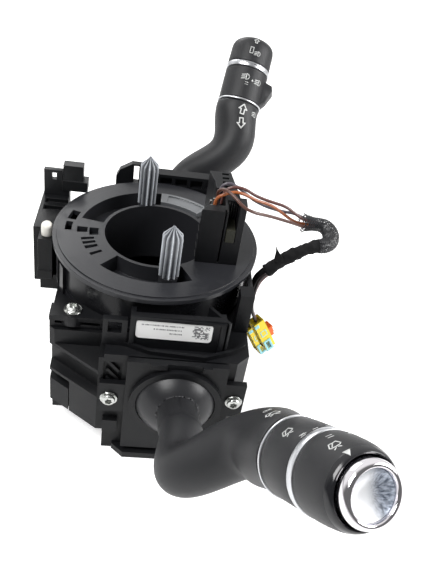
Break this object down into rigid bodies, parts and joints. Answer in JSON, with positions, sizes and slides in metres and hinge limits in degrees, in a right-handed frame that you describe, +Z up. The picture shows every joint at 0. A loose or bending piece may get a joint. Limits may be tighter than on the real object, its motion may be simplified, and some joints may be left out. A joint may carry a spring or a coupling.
{
  "type": "combination stalk switch",
  "caption": "Steering column switch cluster with a clock spring rotor in the middle, a wiper stalk and a light stalk on ball-boot gimbals, and a short wiring pigtail.",
  "frame": {"origin": "on the steering axis, in the plane of the face that sits on the column", "axes": "+Z up the steering axis towards the driver, +Y along the light stalk side, -Y the wiper stalk side"},
  "size_m": [0.1614, 0.3779, 0.1489],
  "materials": {
    "black_housing": "fine-grained black moulding",
    "black_cover": "satin black moulding",
    "rotor_grey": "glossy dark grey moulding",
    "stalk_grey": "soft dark grey paint",
    "boot_grey": "satin dark grey moulding",
    "satin_silver": "satin silver",
    "chrome_trim": "bright chrome",
    "satin_cap": "pearl chrome",
    "sleeve_grey": "milky pale grey",
    "window_grey": "clear grey",
    "contact_olive": "olive",
    "peg_white": "natural white",
    "yoke_white": "natural acetal",
    "label_white": "printed film",
    "board_green": "solder mask",
    "cable_amber": "polyimide film",
    "screw_zinc": "zinc plated",
    "pin_steel": "ground steel",
    "wire_brown": "cable insulation",
    "wire_orange": "cable insulation",
    "wire_violet": "cable insulation",
    "sleeving_black": "braided and taped",
    "lead_black": "soft tube",
    "plug_yellow": "yellow moulding"
  },
  "bodies": {
    "root": {"column_housing": "black_housing", "column_sleeve": "black_housing", "module_cover": "black_cover", "label_plate": "label_white", "circuit_board": "board_green", "clockspring_stator": "black_housing", "flat_cable": "cable_amber", "side_pod": "black_cover", "pod_connector": "black_cover", "pod_header": "black_housing", "pod_peg": "peg_white", "cover_screws": "screw_zinc", "wiper_switch_case": "black_cover", "wiper_bezel": "black_cover", "wiper_case_screws": "screw_zinc", "wiper_detent_block": "yoke_white", "light_switch_case": "black_cover", "light_bezel": "black_cover", "light_case_screws": "screw_zinc", "light_detent_block": "yoke_white", "wire_brown_low": "wire_brown", "wire_orange": "wire_orange", "wire_violet": "wire_violet", "wire_brown_high": "wire_brown", "harness_sleeving": "sleeving_black", "lead_tube": "lead_black", "lead_wire_front": "wire_brown", "lead_wire_back": "wire_violet", "squib_plugs": "plug_yellow"},
    "rotor": {"clockspring_rotor": "rotor_grey", "cancel_cam": "rotor_grey", "drive_sleeves": "sleeve_grey", "connector_tower": "black_cover", "tower_contact": "contact_olive", "centring_window": "window_grey"},
    "wiper_gimbal": {"wiper_yoke": "yoke_white", "wiper_pivot_pin": "pin_steel"},
    "wiper_stalk": {"wiper_boot": "boot_grey", "wiper_arm": "stalk_grey", "wiper_thin_ring": "satin_silver", "wiper_band": "satin_silver", "wiper_detent_plunger": "pin_steel"},
    "light_gimbal": {"light_yoke": "yoke_white", "light_pivot_pin": "pin_steel"},
    "light_stalk": {"light_boot": "boot_grey", "light_arm": "stalk_grey", "light_thin_ring": "satin_silver", "light_band": "satin_silver", "light_detent_plunger": "pin_steel"},
    "wiper_speed": {"wiper_speed_barrel": "stalk_grey"},
    "wiper_end": {"wiper_end_barrel": "stalk_grey"},
    "wiper_button": {"wiper_button_ring": "chrome_trim", "wiper_button_cap": "satin_cap"},
    "light_fog": {"light_fog_barrel": "stalk_grey"},
    "light_end": {"light_end_barrel": "stalk_grey"}
  },
  "joints": [
    {"name": "rotor_spin", "type": "hinge", "parent": "root", "child": "rotor", "pos_m": [0, 0, 0.09], "axis": [0, 0, 1], "range_deg": [-1080, 1080], "deforming": ["wire_brown_low", "wire_orange", "wire_violet", "wire_brown_high", "harness_sleeving", "lead_tube", "lead_wire_front", "lead_wire_back", "flat_cable"]},
    {"name": "wiper_swing", "type": "hinge", "parent": "root", "child": "wiper_gimbal", "pos_m": [0.016, -0.064, 0.044], "axis": [0, 0, 1], "range_deg": [-8, 8]},
    {"name": "light_swing", "type": "hinge", "parent": "root", "child": "light_gimbal", "pos_m": [0.016, 0.064, 0.044], "axis": [0, 0, 1], "range_deg": [-8, 8]},
    {"name": "wiper_pull", "type": "hinge", "parent": "wiper_gimbal", "child": "wiper_stalk", "pos_m": [0.016, -0.064, 0.044], "axis": [-1, 0, 0], "range_deg": [0, 6], "stiffness_Nm_per_rad": 1, "springref_deg": -5.73},
    {"name": "light_pull", "type": "hinge", "parent": "light_gimbal", "child": "light_stalk", "pos_m": [0.016, 0.064, 0.044], "axis": [1, 0, 0], "range_deg": [-6, 6]},
    {"name": "wiper_speed_turn", "type": "hinge", "parent": "wiper_stalk", "child": "wiper_speed", "pos_m": [0.0521, -0.1529, 0.1121], "axis": [0.298, -0.74, 0.603], "range_deg": [-30, 30]},
    {"name": "wiper_end_turn", "type": "hinge", "parent": "wiper_stalk", "child": "wiper_end", "pos_m": [0.0521, -0.1529, 0.1121], "axis": [0.298, -0.74, 0.603], "range_deg": [-30, 30]},
    {"name": "wiper_button_press", "type": "slide", "parent": "wiper_end", "child": "wiper_button", "axis": [-0.298, 0.74, -0.603], "range_m": [0, 0.002], "stiffness_N_per_m": 600, "springref_m": -0.001},
    {"name": "light_fog_turn", "type": "hinge", "parent": "light_stalk", "child": "light_fog", "pos_m": [0.0504, 0.146, 0.108], "axis": [0.167, 0.6518, 0.7398], "range_deg": [-30, 30]},
    {"name": "light_end_turn", "type": "hinge", "parent": "light_stalk", "child": "light_end", "pos_m": [0.0504, 0.146, 0.108], "axis": [0.167, 0.6518, 0.7398], "range_deg": [-60, 0]}
  ]
}
